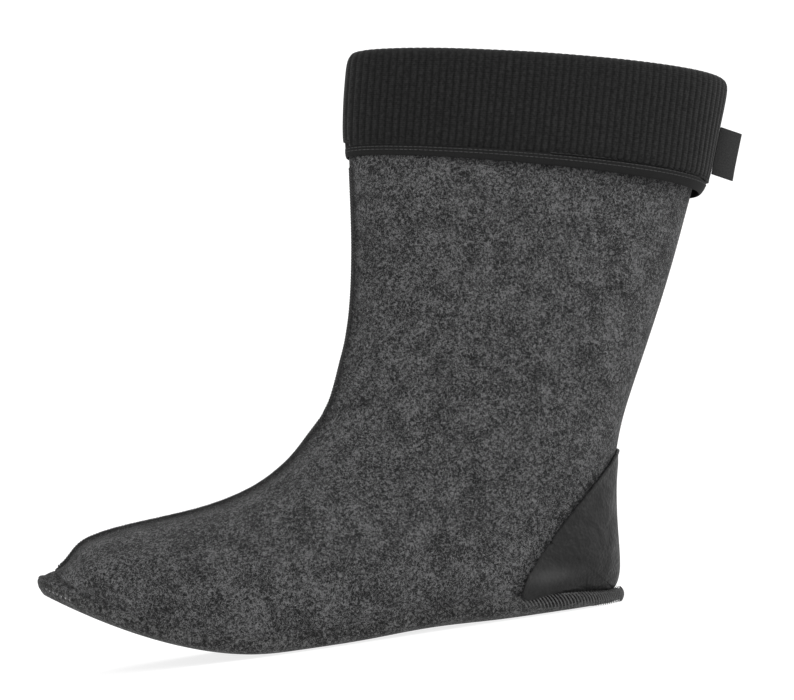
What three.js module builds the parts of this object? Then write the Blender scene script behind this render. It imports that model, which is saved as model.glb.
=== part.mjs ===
// The removable felt liner of a winter boot, for the left foot: a hollow felt upper with a raised
// front seam, a felt sole sewn to its out-turned edge, a leatherette heel patch and a rib-knit cuff.
// Millimetres, +Z up, toe towards -X, outer side towards -Y, origin on the floor under the heel.

import * as THREE from 'three';
import { mergeVertices } from 'three/addons/utils/BufferGeometryUtils.js';

// Driving sizes
const soleLength = 300;        // over the stitched flange, toe to heel
const heelReach = 40;          // the flange's back edge, behind the origin
const ballWidth = 100;         // the sole's widest place
const heelWidth = 70;          // the sole across the heel
const toeSpring = 45;          // the sole's underside at the toe, above the floor
const archRise = 1.4;          // the underside between heel and ball
const edgeLift = 1.6;          // the sole's rim above its flat middle
const heelEdgeLift = 4;        // and round the heel, which is cupped
const soleFelt = 4.5;          // thickness of the sole
const feltWall = 4;            // thickness of the upper
const lipFelt = 4;             // the upper's out-turned edge on the sides and toe
const heelLipFelt = 2.5;       // the same edge, drawn thin by the stitching behind the heel
const toeFlange = 9.6;         // how far the edge stands out in front of the toe seam
const heelFlange = 8.3;        // and behind the heel
const sideFlange = 1.3;        // and along the sides
const toeCreaseRise = 5.6;     // the toe seam's foot above the flat of the flange
const instepHeight = 115.6;    // the front seam where the foot turns into the shaft
const frontHeight = 298;       // the felt's top edge at the front
const backHeight = 265;        // the felt's top edge at the back
const calfOverhang = 93;       // the collar's back, behind the sole's back edge
const shaftDepth = 199.5;      // front to back at the collar
const shaftWidth = 70;         // side to side at the collar
const frontSeamRise = 1.5;     // the raised front seam, above the felt beside it
const frontSeamWidth = 7;      // the raised front seam, side to side
const seamGap = 0.3;           // between pieces that touch
const patchThickness = 1.1;    // leatherette over the heel
const patchGap = 0.5;          // between it and the felt
const patchHemRise = 0.7;      // its turned edge, above the rest
const patchHemWidth = 2.6;
const patchHeight = 80;        // the patch's peak on the back
const patchReach = 61;         // its lower front corner, in front of the sole's back edge
const patchFrontHeight = 18.5; // height of its front edge
const patchBow = 3.8;          // how far its diagonal edge bows out
const patchFootGap = 1;        // its bottom above the upper's out-turned edge
const cuffThickness = 2.4;     // doubled rib knit
const cuffGap = 0.5;           // between the knit and the felt
const cuffFoldRise = 6.2;      // the knit's fold above the felt's top edge at the front
const cuffBackRise = 3.8;      // and at the back
const cuffHeight = 51;         // outside, from the felt's top edge to the binding's bottom
const cuffInside = 24;         // how far the knit reaches down inside the shaft
const cuffBackStand = 5.2;     // the cuff's lower edge away from the felt at the back
const cuffFrontStand = 0.4;    // and at the front
const bindingHeight = 6.5;     // the tape along the cuff's lower edge
const bindingThickness = 1.4;
const tabHeight = 22;          // the loop of tape sewn to the back of the cuff
const tabReach = 12.5;
const tabThickness = 1.2;
const tabDrop = 16.5;          // the tab's top below the felt's top edge

const toeX = heelReach - soleLength;
const collarBackX = heelReach + calfOverhang;
const collarFrontX = collarBackX - shaftDepth;
const flatFlange = soleFelt + seamGap + lipFelt;

// Where the flange changes along the sole, as shares of the sole's length from the toe
const toeFlangeEnd = 0.09;
const toeCreaseEnd = 0.07;
const rimLiftRange = { from: 0.5, to: 0.8 };
const heelRange = { from: 0.78, to: 0.96 };

// The flange's rim lifts beyond its flat share, sideways and, a little less, round the heel
const rimFlatShare = 0.55;
const heelLiftShare = 0.85;
const fullLiftHalf = 0.45 * heelWidth;

// The front seam's foot, and how wide it may be on the short sections at the toe
const seamBevel = 1.2;
const seamTopShare = 0.8;
const seamMost = 0.16;
const bevelMost = 0.03;

// A table is a list of rows with named columns.
const table = (columns, ...rows) =>
  rows.map((row) => Object.fromEntries(columns.map((name, i) => [name, row[i]])));

// The sole's plan. along: share of the sole's length from the toe. ball, heel: shares of those
// widths that add up to half the sole's width. swing: how far the middle bends to the inner side.
const solePlan = table(
  ['along', 'ball', 'heel', 'swing'],
  [0.00, 0.00, 0.000, 0.075],
  [0.03, 0.18, 0.000, 0.070],
  [0.08, 0.31, 0.000, 0.060],
  [0.15, 0.41, 0.000, 0.045],
  [0.25, 0.47, 0.000, 0.020],
  [0.35, 0.50, 0.000, 0.000],
  [0.50, 0.30, 0.210, -0.025],
  [0.65, 0.12, 0.370, -0.035],
  [0.80, 0.00, 0.500, -0.020],
  [0.90, 0.00, 0.470, -0.008],
  [0.96, 0.00, 0.315, 0.000],
  [1.00, 0.00, 0.000, 0.000],
);

// Where the sole lies flat, and how its front curls up, as shares of its length
const ballFlat = { front: 0.367, back: 0.493 };
const heelFlatFront = 0.783;
const toeCurl = 1.7;

// Sections of the foot, toe to heel. edge: share along the sole where the section lands.
// ridgeAlong, ridgeUp: the front seam, as shares of the sole's length and the instep's height.
// ball, heel: shares of those widths that make the half width. belly: where that width lies,
// from the seam (0) down to the sole (1).
const footSections = table(
  ['edge', 'ridgeAlong', 'ridgeUp', 'ball', 'heel', 'belly'],
  [0.00, 0.0320, 0.473, 0.000, 0.000, 0.66],
  [0.01, 0.0385, 0.486, 0.085, 0.000, 0.66],
  [0.03, 0.0490, 0.507, 0.175, 0.000, 0.66],
  [0.06, 0.0660, 0.552, 0.270, 0.000, 0.66],
  [0.10, 0.0850, 0.590, 0.360, 0.000, 0.66],
  [0.16, 0.1400, 0.623, 0.432, 0.000, 0.67],
  [0.23, 0.2130, 0.641, 0.470, 0.000, 0.68],
  [0.31, 0.2930, 0.663, 0.495, 0.000, 0.69],
  [0.40, 0.3730, 0.716, 0.500, 0.000, 0.70],
  [0.50, 0.4230, 0.783, 0.350, 0.186, 0.71],
  [0.60, 0.4540, 0.843, 0.240, 0.300, 0.72],
  [0.70, 0.4720, 0.889, 0.110, 0.436, 0.74],
  [0.79, 0.4850, 0.925, 0.020, 0.534, 0.76],
  [0.87, 0.4950, 0.951, 0.000, 0.546, 0.77],
  [0.93, 0.5020, 0.970, 0.000, 0.536, 0.77],
  [0.97, 0.5070, 0.983, 0.000, 0.532, 0.77],
  [0.99, 0.5105, 0.992, 0.000, 0.529, 0.77],
  [1.00, 0.5133, 1.000, 0.000, 0.528, 0.77],
);

// Sections of the shaft, from the heel's corner up. ridgeBack, ridgeUp: the front seam, as shares
// of its way from the instep to the collar. calfBack, calfUp: the back, as shares of its way from
// the heel's crease to the collar. heel, shaft: shares of those widths that make the half width.
const shaftSections = table(
  ['ridgeBack', 'ridgeUp', 'calfBack', 'calfUp', 'heel', 'shaft', 'belly'],
  [0.025, 0.010, 0.034, 0.014, 0.526, 0.000, 0.770],
  [0.096, 0.032, 0.062, 0.045, 0.521, 0.000, 0.768],
  [0.187, 0.071, 0.076, 0.126, 0.514, 0.000, 0.760],
  [0.263, 0.112, 0.099, 0.204, 0.508, 0.000, 0.748],
  [0.349, 0.158, 0.151, 0.281, 0.403, 0.100, 0.725],
  [0.430, 0.202, 0.210, 0.343, 0.305, 0.195, 0.700],
  [0.565, 0.309, 0.361, 0.459, 0.155, 0.345, 0.650],
  [0.704, 0.501, 0.564, 0.617, 0.000, 0.500, 0.590],
  [0.795, 0.720, 0.747, 0.780, 0.000, 0.500, 0.555],
  [0.868, 0.858, 0.867, 0.884, 0.000, 0.500, 0.540],
  [1.000, 1.000, 1.000, 1.000, 0.000, 0.500, 0.530],
);

// The flange's rounded edge. height: share of the sole's or the lip's thickness.
// inset: shares of the flat flange's height (sole) or of the flange's reach (lip).
const soleEdge = table(
  ['height', 'side', 'heel'],
  [0.00, 0.250, 0.110],
  [0.25, 0.080, 0.020],
  [0.60, 0.012, 0.070],
  [1.00, 0.000, 0.270],
);
const lipEdge = table(
  ['height', 'side', 'heel'],
  [0.94, 0.60, 0.86],
  [0.72, 0.22, 0.66],
  [0.40, 0.04, 0.50],
  [0.00, 0.00, 0.34],
);

// The cuff stands off from the felt below its fold, and its binding curls back in. drop: share of
// the cuff's height below the felt's top edge. stand: share of the cuff's widest stand-off.
const cuffFlare = table(
  ['drop', 'stand'],
  [0.00, 0.20],
  [0.14, 0.38],
  [0.35, 0.52],
  [0.62, 0.75],
  [0.88, 1.00],
  [0.94, 0.92],
  [1.00, 0.62],
);

// The binding's rounded section. drop: share of its height. out: share of its thickness.
const bindingSection = table(
  ['drop', 'out'],
  [0.00, 0.0],
  [0.00, 0.9],
  [0.45, 1.0],
  [0.88, 0.9],
  [1.00, 0.5],
  [0.90, 0.0],
);

// Mesh resolution
const columns = 13;
const columnCrowding = 0.65;
const arcSamples = 64;
const soleColumns = [-1, -0.87, -0.74, -0.55, 0, 0.55, 0.74, 0.87, 1];
const patchColumns = 8;
const footCrowding = 1.35;
const foldSteps = 4;
const tabRows = 4;

const clamp = THREE.MathUtils.clamp;
const lerp = THREE.MathUtils.lerp;
const smoothstep = THREE.MathUtils.smoothstep;

// Smooth curve through the points (xs, ys) that never swings past them.
function smoothThrough(xs, ys, x) {
  const last = xs.length - 1;
  const i = clamp(xs.findIndex((edge) => edge > x) - 1, 0, last - 1);
  const cell = x >= xs[last] ? last - 1 : i;
  const slope = (k) => (ys[k + 1] - ys[k]) / (xs[k + 1] - xs[k]);
  const tangent = (k) => {
    if (k === 0) return slope(0);
    if (k === last) return slope(last - 1);
    const [before, after] = [slope(k - 1), slope(k)];
    if (before * after <= 0) return 0;
    const [left, right] = [xs[k] - xs[k - 1], xs[k + 1] - xs[k]];
    return (3 * (left + right)) / ((2 * right + left) / before + (right + 2 * left) / after);
  };
  const width = xs[cell + 1] - xs[cell];
  const t = clamp((x - xs[cell]) / width, 0, 1);
  const [t2, t3] = [t * t, t * t * t];
  return (2 * t3 - 3 * t2 + 1) * ys[cell] + (t3 - 2 * t2 + t) * width * tangent(cell)
    + (3 * t2 - 2 * t3) * ys[cell + 1] + (t3 - t2) * width * tangent(cell + 1);
}

// A table's columns as smooth curves over one of them.
function curvesOver(rows, over) {
  const xs = rows.map(over);
  return (name, x) => smoothThrough(xs, rows.map((row) => row[name]), x);
}

// The sole's plan runs over a turn from the toe (0) to the heel (pi), so both ends come out round.
const turnOf = (along) => Math.acos(1 - 2 * clamp(along, 0, 1));
const planCurve = curvesOver(solePlan, (row) => turnOf(row.along));

function planPoint(turn) {
  const side = turn < 0 || turn > Math.PI ? -1 : 1;
  const folded = turn < 0 ? -turn : Math.min(turn, 2 * Math.PI - turn);
  const half = planCurve('ball', folded) * ballWidth + planCurve('heel', folded) * heelWidth;
  return new THREE.Vector2(toeX + soleLength * (1 - Math.cos(folded)) / 2, side * half);
}

// A point on the sole's outline, set in from it by some distance.
function outline(along, inset) {
  const turn = turnOf(along);
  const step = 0.01;
  const ahead = planPoint(turn + step).sub(planPoint(turn - step)).normalize();
  const point = planPoint(turn);
  return { x: point.x + ahead.y * inset, y: Math.max(0, point.y - ahead.x * inset) };
}

// The sole's underside: flat at heel and ball, arched between, curled up at the toe.
function profileHeight(x) {
  const along = (x - toeX) / soleLength;
  if (along < ballFlat.front) {
    return toeSpring * ((ballFlat.front - along) / ballFlat.front) ** toeCurl;
  }
  const arch = (along - ballFlat.back) / (heelFlatFront - ballFlat.back);
  return arch > 0 && arch < 1 ? archRise * Math.sin(Math.PI * arch) ** 2 : 0;
}

// Height of a layer of the flange above the floor: layer is its distance from the underside. The
// middle is flat; the rim lifts along the sides and round the heel.
function flangeHeight(x, y, layer) {
  const along = (x - toeX) / soleLength;
  const heelRadius = heelWidth / 2;
  const half = planPoint(turnOf(Math.min(along, 1 - heelRadius / soleLength))).y;
  const behind = heelLiftShare * Math.max(0, 1 - (heelReach - x) / heelRadius);
  const outward = Math.hypot(y / Math.max(half, 1), behind);
  const rim = clamp((outward - rimFlatShare) / (1 - rimFlatShare), 0, 1.2);
  const lift = lerp(edgeLift, heelEdgeLift, smoothstep(along, rimLiftRange.from, rimLiftRange.to));
  const slope = (profileHeight(x + 0.5) - profileHeight(x - 0.5));
  return profileHeight(x) + lift * Math.min(1, half / fullLiftHalf) * rim ** 2
    + layer * Math.hypot(1, slope);
}

// How far the flange stands out from the upper, and how much of the heel's shape it has.
const heelShare = (along) => smoothstep(along, heelRange.from, heelRange.to);
function flangeReach(along) {
  const toeShare = clamp(1 - along / toeFlangeEnd, 0, 1) ** 2;
  return sideFlange + (toeFlange - sideFlange) * toeShare
    + (heelFlange - sideFlange) * heelShare(along);
}

// The crease where the upper's wall turns out into the lip.
function crease(along) {
  const point = outline(along, flangeReach(along));
  const lip = lerp(lipFelt, heelLipFelt, heelShare(along));
  const rise = toeCreaseRise * clamp(1 - along / toeCreaseEnd, 0, 1) ** 2;
  const z = flangeHeight(point.x, point.y, soleFelt + seamGap + lip) + rise;
  return { x: point.x, half: point.y, z };
}

// All the sections, in millimetres. Those of the foot are open below and end at the crease.
const instepX = toeX + soleLength * footSections.at(-1).ridgeAlong;
const heelCrease = crease(1);
const sections = [
  ...footSections.map((row) => ({
    edge: row.edge,
    ridgeX: toeX + soleLength * row.ridgeAlong,
    ridgeZ: instepHeight * row.ridgeUp,
    baseX: crease(row.edge).x,
    baseZ: crease(row.edge).z,
    half: row.ball * ballWidth + row.heel * heelWidth,
    belly: row.belly,
  })),
  ...shaftSections.map((row) => ({
    edge: 1,
    ridgeX: lerp(instepX, collarFrontX, row.ridgeBack),
    ridgeZ: lerp(instepHeight, frontHeight, row.ridgeUp),
    baseX: lerp(heelCrease.x, collarBackX, row.calfBack),
    baseZ: lerp(heelCrease.z, backHeight, row.calfUp),
    half: row.heel * heelWidth + row.shaft * shaftWidth,
    belly: row.belly,
  })),
];
const heelRow = footSections.length - 1;
const collarRow = sections.length - 1;
const sectionCurve = curvesOver(sections, (row) => sections.indexOf(row));

// The front seam lies on the foot's swing; it dies out at the toe and flattens under the cuff.
const seamRiseAt = (u) =>
  frontSeamRise * smoothstep(u, 0, 2) * (1 - smoothstep(u, collarRow - 2.5, collarRow - 2.02));

// One section at a place between the rows. inside: how far it is set in, for the inner face.
function sectionAt(u, inside = 0) {
  const ridge = new THREE.Vector2(sectionCurve('ridgeX', u), sectionCurve('ridgeZ', u));
  const base = new THREE.Vector2(sectionCurve('baseX', u), sectionCurve('baseZ', u));
  let edgeHalf = 0;
  if (u < heelRow) {
    const along = sectionCurve('edge', u);
    const foot = inside > 0
      ? outline(along, flangeReach(along) + inside)
      : { x: crease(along).x, y: crease(along).half };
    const z = inside > 0 ? flangeHeight(foot.x, foot.y, soleFelt + seamGap) : crease(along).z;
    base.set(foot.x, z);
    edgeHalf = foot.y;
  }
  const along = new THREE.Vector2(
    sectionCurve('ridgeX', u + 0.05) - sectionCurve('ridgeX', u - 0.05),
    sectionCurve('ridgeZ', u + 0.05) - sectionCurve('ridgeZ', u - 0.05),
  ).normalize();
  const inward = new THREE.Vector2(along.y, -along.x);
  const depth = seamRiseAt(u) + inside;
  ridge.addScaledVector(inward, depth);
  if (inside > 0 && u >= heelRow) {
    const up = new THREE.Vector2(
      sectionCurve('baseX', u + 0.05) - sectionCurve('baseX', Math.max(u - 0.05, heelRow)),
      sectionCurve('baseZ', u + 0.05) - sectionCurve('baseZ', Math.max(u - 0.05, heelRow)),
    ).normalize();
    base.addScaledVector(new THREE.Vector2(-up.y, up.x), inside);
    if (u === heelRow) {
      const foot = outline(1, flangeReach(1) + inside);
      base.set(foot.x, flangeHeight(foot.x, 0, soleFelt + seamGap));
    }
  }
  const half = Math.max(sectionCurve('half', u) - inside, edgeHalf * 1.001, u > 0 ? 0.01 : 0);
  return { ridge, base, half, edgeHalf, belly: sectionCurve('belly', u), inward };
}

// A section's outline from the ridge (turn 0) to its end, as an egg that is open below on the foot.
const crown = 1.1;
const back = 0.9;
function egg(section, turn) {
  const share = (angle) => (angle < Math.PI / 2
    ? section.belly * (1 - Math.cos(angle))
    : section.belly - (1 - section.belly) * Math.cos(angle));
  const end = section.edgeHalf > 0
    ? Math.PI - Math.asin(Math.min(1, (section.edgeHalf / section.half) ** (1 / back)))
    : Math.PI;
  const angle = turn * end;
  const place = section.ridge.clone().lerp(section.base, share(angle) / share(end));
  const bulge = Math.max(0, Math.sin(angle)) ** (angle < Math.PI / 2 ? crown : back);
  return new THREE.Vector3(place.x, turn >= 1 ? section.edgeHalf : section.half * bulge, place.y);
}

// The points of a section at given distances along it, measured from the ridge.
function alongSection(section) {
  const turns = Array.from({ length: arcSamples + 1 }, (_, i) => i / arcSamples);
  const points = turns.map((turn) => egg(section, turn));
  const lengths = [0];
  points.slice(1).forEach((point, i) => lengths.push(lengths[i] + point.distanceTo(points[i])));
  const total = lengths.at(-1);
  const pointAt = (length) => {
    const goal = clamp(length, 0, total);
    const i = clamp(lengths.findIndex((reach) => reach >= goal), 1, arcSamples);
    const t = total > 0 ? (goal - lengths[i - 1]) / Math.max(lengths[i] - lengths[i - 1], 1e-9) : 0;
    return points[i - 1].clone().lerp(points[i], clamp(t, 0, 1));
  };
  return { total, pointAt };
}

// The last's bend to the inner side, which fades out up the shaft.
function swing(point) {
  const turn = turnOf((point.x - toeX) / soleLength);
  const fade = 1 - smoothstep(point.z, 0.7 * instepHeight, 1.5 * instepHeight);
  point.y += ballWidth * planCurve('swing', turn) * fade;
  return point;
}

const mirrored = (point) => new THREE.Vector3(point.x, -point.y, point.z);

// A closed mesh from strips of cells between neighbouring rows of points.
class Shell {
  constructor() {
    this.corners = [];
  }

  triangle(a, b, c) {
    const tiny = 1e-4;
    if (a.distanceTo(b) < tiny || b.distanceTo(c) < tiny || c.distanceTo(a) < tiny) return;
    this.corners.push(a, b, c);
  }

  strip(lower, upper) {
    for (let i = 0; i < lower.length - 1; i += 1) {
      this.triangle(lower[i], lower[i + 1], upper[i + 1]);
      this.triangle(lower[i], upper[i + 1], upper[i]);
    }
  }

  band(rows) {
    rows.slice(1).forEach((row, i) => this.strip(rows[i], row));
  }

  // A strip between two rows that have different numbers of points.
  zip(lower, upper) {
    let [i, j] = [0, 0];
    while (i < lower.length - 1 || j < upper.length - 1) {
      if (j === upper.length - 1 || (i + 1) / lower.length <= (j + 1) / upper.length) {
        if (i === lower.length - 1) j += 1;
        else this.triangle(lower[i], lower[i + 1], upper[j]);
        if (i < lower.length - 1) i += 1;
      } else {
        this.triangle(lower[i], upper[j + 1], upper[j]);
        j += 1;
      }
    }
  }

  geometry(bend = (point) => point) {
    const flat = this.corners.flatMap((corner) => bend(corner.clone()).toArray());
    const loose = new THREE.BufferGeometry();
    loose.setAttribute('position', new THREE.Float32BufferAttribute(flat, 3));
    return mergeVertices(loose, 1e-3);
  }
}

// Columns lie closer together near a section's ends, where it turns most.
const crowded = (share) => lerp(share, (1 - Math.cos(Math.PI * share)) / 2, columnCrowding);

// A place on one of the upper's faces, on its inner side (+Y). share: how far along its section,
// ridge to base. wall: 0 for the outer face, the felt's thickness for the inner one.
const faceSections = new Map();
function faceSection(u, wall) {
  const key = `${u} ${wall}`;
  if (!faceSections.has(key)) faceSections.set(key, alongSection(sectionAt(u, wall)));
  return faceSections.get(key);
}

function facePoint(u, share, wall = 0) {
  const { total, pointAt } = faceSection(u, wall);
  return pointAt(total * share);
}

function faceNormal(u, share, wall = 0) {
  const [rowStep, shareStep] = [0.04, 0.01];
  const across = facePoint(u, Math.min(1, share + shareStep), wall)
    .sub(facePoint(u, Math.max(0, share - shareStep), wall));
  const up = facePoint(Math.min(collarRow, u + rowStep), share, wall)
    .sub(facePoint(u - rowStep, share, wall));
  const normal = up.cross(across);
  if (share === 0 || (share === 1 && u >= heelRow)) normal.y = 0;
  return normal.normalize();
}

// The same place, moved off the face along its outward normal.
const offFace = (u, share, out, wall = 0) =>
  facePoint(u, share, wall).addScaledVector(faceNormal(u, share, wall), out);

// Columns run from the ridge (0), over the front seam's foot (1), to the base. Both faces of the
// felt share them.
const seamHalf = (total) => Math.min(frontSeamWidth / 2, total * seamMost);
function columnShare(column, u) {
  if (column === 0) return 0;
  const { total } = faceSection(u, 0);
  const seamFoot = seamHalf(total) + Math.min(seamBevel, total * bevelMost);
  return lerp(seamFoot / total, 1, crowded((column - 1) / (columns - 1)));
}

// The upper: outer face, lip, inner face and collar rim, row by row. Its rows run from the inner
// side over the ridge to the outer side.
function outerRow(u) {
  const { inward } = sectionAt(u);
  const { total, pointAt } = faceSection(u, 0);
  const rise = seamRiseAt(u);
  const half = seamHalf(total);
  const stops = [[0, 1], [half * seamTopShare, 0.95]];
  for (let i = 1; i <= columns; i += 1) stops.push([total * columnShare(i, u), 0]);
  const side = stops.map(([length, raised]) => {
    const point = pointAt(length);
    point.x -= inward.x * rise * raised;
    point.z -= inward.y * rise * raised;
    return point;
  });
  return [...side.slice(1).reverse(), ...side.map(mirrored)];
}

function innerRow(u) {
  const side = [];
  for (let i = 0; i <= columns; i += 1) side.push(facePoint(u, columnShare(i, u), feltWall));
  return [...side.slice(1).reverse(), ...side.map(mirrored)];
}

// The lip's rounded edge, from the crease out and round to the inner face's foot.
function lipRow(u) {
  const along = sectionCurve('edge', u);
  const reach = flangeReach(along);
  const lip = lerp(lipFelt, heelLipFelt, heelShare(along));
  const top = crease(along);
  const points = [new THREE.Vector3(top.x, top.half, top.z)];
  const rise = top.z - flangeHeight(top.x, top.half, soleFelt + seamGap + lip);
  lipEdge.forEach((row) => {
    const { x, y } = outline(along, reach * lerp(row.side, row.heel, heelShare(along)));
    const layer = soleFelt + seamGap + lip * row.height;
    points.push(new THREE.Vector3(x, y, flangeHeight(x, y, layer) + rise * row.height ** 2 / 4));
  });
  const foot = outline(along, reach + feltWall);
  const footZ = flangeHeight(foot.x, foot.y, soleFelt + seamGap);
  points.push(new THREE.Vector3(foot.x, foot.y, footZ));
  return points;
}

// Two rows to a section; more round the heel, fewer on the straight part under the cuff.
const extraRows = [heelRow - 0.25, heelRow - 0.08];
const rowPlaces = Array.from({ length: 2 * collarRow + 1 }, (_, i) => i / 2)
  .filter((u) => u < collarRow - 2 || Number.isInteger(u))
  .concat(extraRows)
  .sort((a, b) => a - b);
const footPlaces = rowPlaces.filter((u) => u <= heelRow);

function makeUpper() {
  const shell = new Shell();
  const outer = rowPlaces.map(outerRow);
  const inner = rowPlaces.map(innerRow);
  const lips = footPlaces.map(lipRow);
  lips.forEach((lip, i) => {
    lip[0] = outer[i][0].clone();
    lip[lip.length - 1] = inner[i][0].clone();
  });
  shell.band(outer);
  shell.band(lips.map((lip) => lip.map(mirrored)));
  shell.band(inner.map((row) => [...row].reverse()));
  shell.band(lips.map((lip) => [...lip].reverse()));
  shell.zip(outer.at(-1), inner.at(-1));
  return shell.geometry(swing);
}

// The sole: one felt sheet with a rounded edge, curled like the last.
function makeSole() {
  const shell = new Shell();
  const rows = footPlaces.map((u) => {
    const along = sectionCurve('edge', u);
    const edge = soleEdge.map((row) => {
      const inset = flatFlange * lerp(row.side, row.heel, heelShare(along));
      const { x, y } = outline(along, inset);
      return new THREE.Vector3(x, y, flangeHeight(x, y, soleFelt * row.height));
    });
    const face = (corner, layer) => {
      return soleColumns.map((column) => {
        const y = corner.y * column;
        const z = Math.abs(column) === 1 ? corner.z : flangeHeight(corner.x, y, layer);
        return new THREE.Vector3(corner.x, y, z);
      });
    };
    const bottom = face(edge[0], 0);
    const top = face(edge.at(-1), soleFelt).reverse();
    const rightEdge = edge.slice(1, -1);
    const leftEdge = edge.slice(1, -1).reverse().map(mirrored);
    return [...bottom, ...rightEdge, ...top, ...leftEdge, bottom[0]];
  });
  shell.band(rows);
  return shell.geometry(swing);
}

// The value between low and high where a test turns from false to true.
function turningPoint(low, high, test) {
  let [below, above] = [low, high];
  for (let i = 0; i < 40; i += 1) {
    const middle = (below + above) / 2;
    if (test(middle)) above = middle;
    else below = middle;
  }
  return above;
}

// The heel patch covers what lies behind its front edge and under its bowed diagonal.
const patchPeakRow = turningPoint(heelRow, collarRow, (u) => sectionCurve('baseZ', u) > patchHeight);
const patchPeakX = sectionCurve('baseX', patchPeakRow);
const patchCornerX = heelReach - patchReach;
const patchFrontSlant = 0.17;
const firstBackRow = heelRow + 0.2;
function underPatch({ x, z }) {
  const way = clamp((x - patchCornerX) / (patchPeakX - patchCornerX), 0, 1);
  const diagonal = lerp(patchFrontHeight, patchHeight, way) + 4 * patchBow * way * (1 - way);
  return x > patchCornerX - patchFrontSlant * (patchFrontHeight - z) && z < diagonal;
}

function patchRow(u, side, isTip) {
  const { total } = faceSection(u, 0);
  const floor = crease(sectionCurve('edge', u)).z + patchFootGap;
  const atBack = u > heelRow - 0.4;
  const end = u >= heelRow ? 1
    : turningPoint(0.6, 1, (share) => offFace(u, share, patchGap + patchThickness).z < floor);
  const start = turningPoint(0, end, (share) => underPatch(facePoint(u, share)));
  const length = isTip ? 0 : (end - start) * total;
  const hem = Math.min(patchHemWidth, length * 0.4);
  const hemRise = patchHemRise * clamp(length / (3 * patchHemWidth) - 0.05, 0, 1);
  const stops = [[0, 1], [hem * 0.85, 1], [hem, 0]];
  for (let i = 1; i <= patchColumns; i += 1) {
    stops.push([lerp(hem, length, 1 - (1 - i / patchColumns) ** footCrowding), 0]);
  }
  const place = (distance, out) => {
    const share = isTip ? end : Math.min(end, start + distance / total);
    const point = offFace(atBack ? Math.max(u, firstBackRow) : u, share, out);
    point.z = Math.max(point.z, floor);
    return point;
  };
  const outer = stops.map(([distance, raised]) =>
    place(distance, patchGap + patchThickness + hemRise * raised));
  const inner = stops.map(([distance]) => place(distance, patchGap));
  return side > 0 ? { outer, inner } : { outer: outer.map(mirrored), inner: inner.map(mirrored) };
}

function makeHeelPatch() {
  const shell = new Shell();
  const startRow = turningPoint(0, heelRow, (u) => underPatch(facePoint(u, 0.97)));
  const between = rowPlaces.filter((u) => u > startRow + 0.1 && u < patchPeakRow - 0.3);
  const places = [startRow, ...between, patchPeakRow - 0.2, patchPeakRow - 0.08, patchPeakRow];
  [1, -1].forEach((side) => {
    const rows = places.map((u, i) => patchRow(u, side, i === 0 || i === places.length - 1));
    const turned = (row) => (side > 0 ? [...row].reverse() : row);
    const hemEdge = rows.map(({ outer, inner }) => [inner[0], outer[0]]);
    const footEdge = rows.filter((_, i) => places[i] <= heelRow)
      .map(({ outer, inner }) => [outer.at(-1), inner.at(-1)]);
    shell.band(rows.map(({ outer }) => turned(outer)));
    shell.band(rows.map(({ inner }) => turned([...inner].reverse())));
    shell.band(hemEdge.map(turned));
    shell.band(footEdge.map(turned));
  });
  return shell.geometry(swing);
}

// Places on the cuff go by drop, the distance below the felt's top edge along the front seam.
const ridgeAt = (u) => new THREE.Vector2(sectionCurve('ridgeX', u), sectionCurve('ridgeZ', u));
const collarRidge = ridgeAt(collarRow);
const rowAtDrop = (drop) =>
  turningPoint(collarRow, heelRow, (u) => collarRidge.distanceTo(ridgeAt(u)) > drop);

function outerPoint(drop, column, out) {
  const u = rowAtDrop(drop);
  const share = columnShare(column, u);
  return offFace(u, share, out + standOff(drop, share));
}

function innerPoint(drop, column, out) {
  const u = rowAtDrop(drop);
  return offFace(u, columnShare(column, u), -out, feltWall);
}

// The cuff's stand-off grows from its fold down and from its front round to its back.
const flareCurve = curvesOver(cuffFlare, (row) => row.drop);
function standOff(drop, share) {
  const widest = lerp(cuffFrontStand, cuffBackStand, smoothstep(share, 0.15, 1));
  return widest * flareCurve('stand', clamp(drop / cuffHeight, 0, 1));
}

// A ring round the shaft, from the front to the back and forward again, in the felt's columns.
function ring(loopAt) {
  const inner = Array.from({ length: columns + 1 }, (_, i) => loopAt(i));
  const outer = [...inner].slice(1, -1).reverse().map((loop) => loop.map(mirrored));
  return [...inner, ...outer, inner[0]];
}

const ribHeight = cuffHeight - bindingHeight;

function cuffLoop(column) {
  const drops = cuffFlare.map((row) => row.drop * cuffHeight).filter((drop) => drop < ribHeight);
  const skirt = [...drops, ribHeight];
  const inside = [0, 0.5, 1].map((part) => part * cuffInside);
  const leg = (out) => skirt.map((drop) => outerPoint(drop, column, out));
  const innerLeg = (out) => inside.map((drop) => innerPoint(drop, column, out));
  const share = columnShare(column, collarRow);
  const up = facePoint(collarRow, share).sub(facePoint(collarRow - 0.2, share)).normalize();
  const rise = lerp(cuffFoldRise, cuffBackRise, share);
  const fold = (out, height) => Array.from({ length: foldSteps - 1 }, (_, i) => {
    const turn = Math.PI * (i + 1) / foldSteps;
    return innerPoint(0, column, out).lerp(outerPoint(0, column, out), (1 + Math.cos(turn)) / 2)
      .addScaledVector(up, height * Math.sin(turn));
  });
  const [near, far] = [cuffGap, cuffGap + cuffThickness];
  const loop = [
    ...leg(far).reverse(),
    ...fold(far, rise),
    ...innerLeg(far),
    ...innerLeg(near).reverse(),
    ...fold(near, rise - cuffThickness).reverse(),
    ...leg(near),
  ];
  return [...loop, loop[0]];
}

function bindingLoop(column) {
  const loop = bindingSection.map((row) => {
    const drop = lerp(ribHeight + seamGap, cuffHeight, row.drop);
    return outerPoint(drop, column, cuffGap + bindingThickness * row.out);
  }).reverse();
  return [...loop, loop[0]];
}

function makeRing(loopAt) {
  const shell = new Shell();
  shell.band(ring(loopAt));
  return shell.geometry();
}

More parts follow.
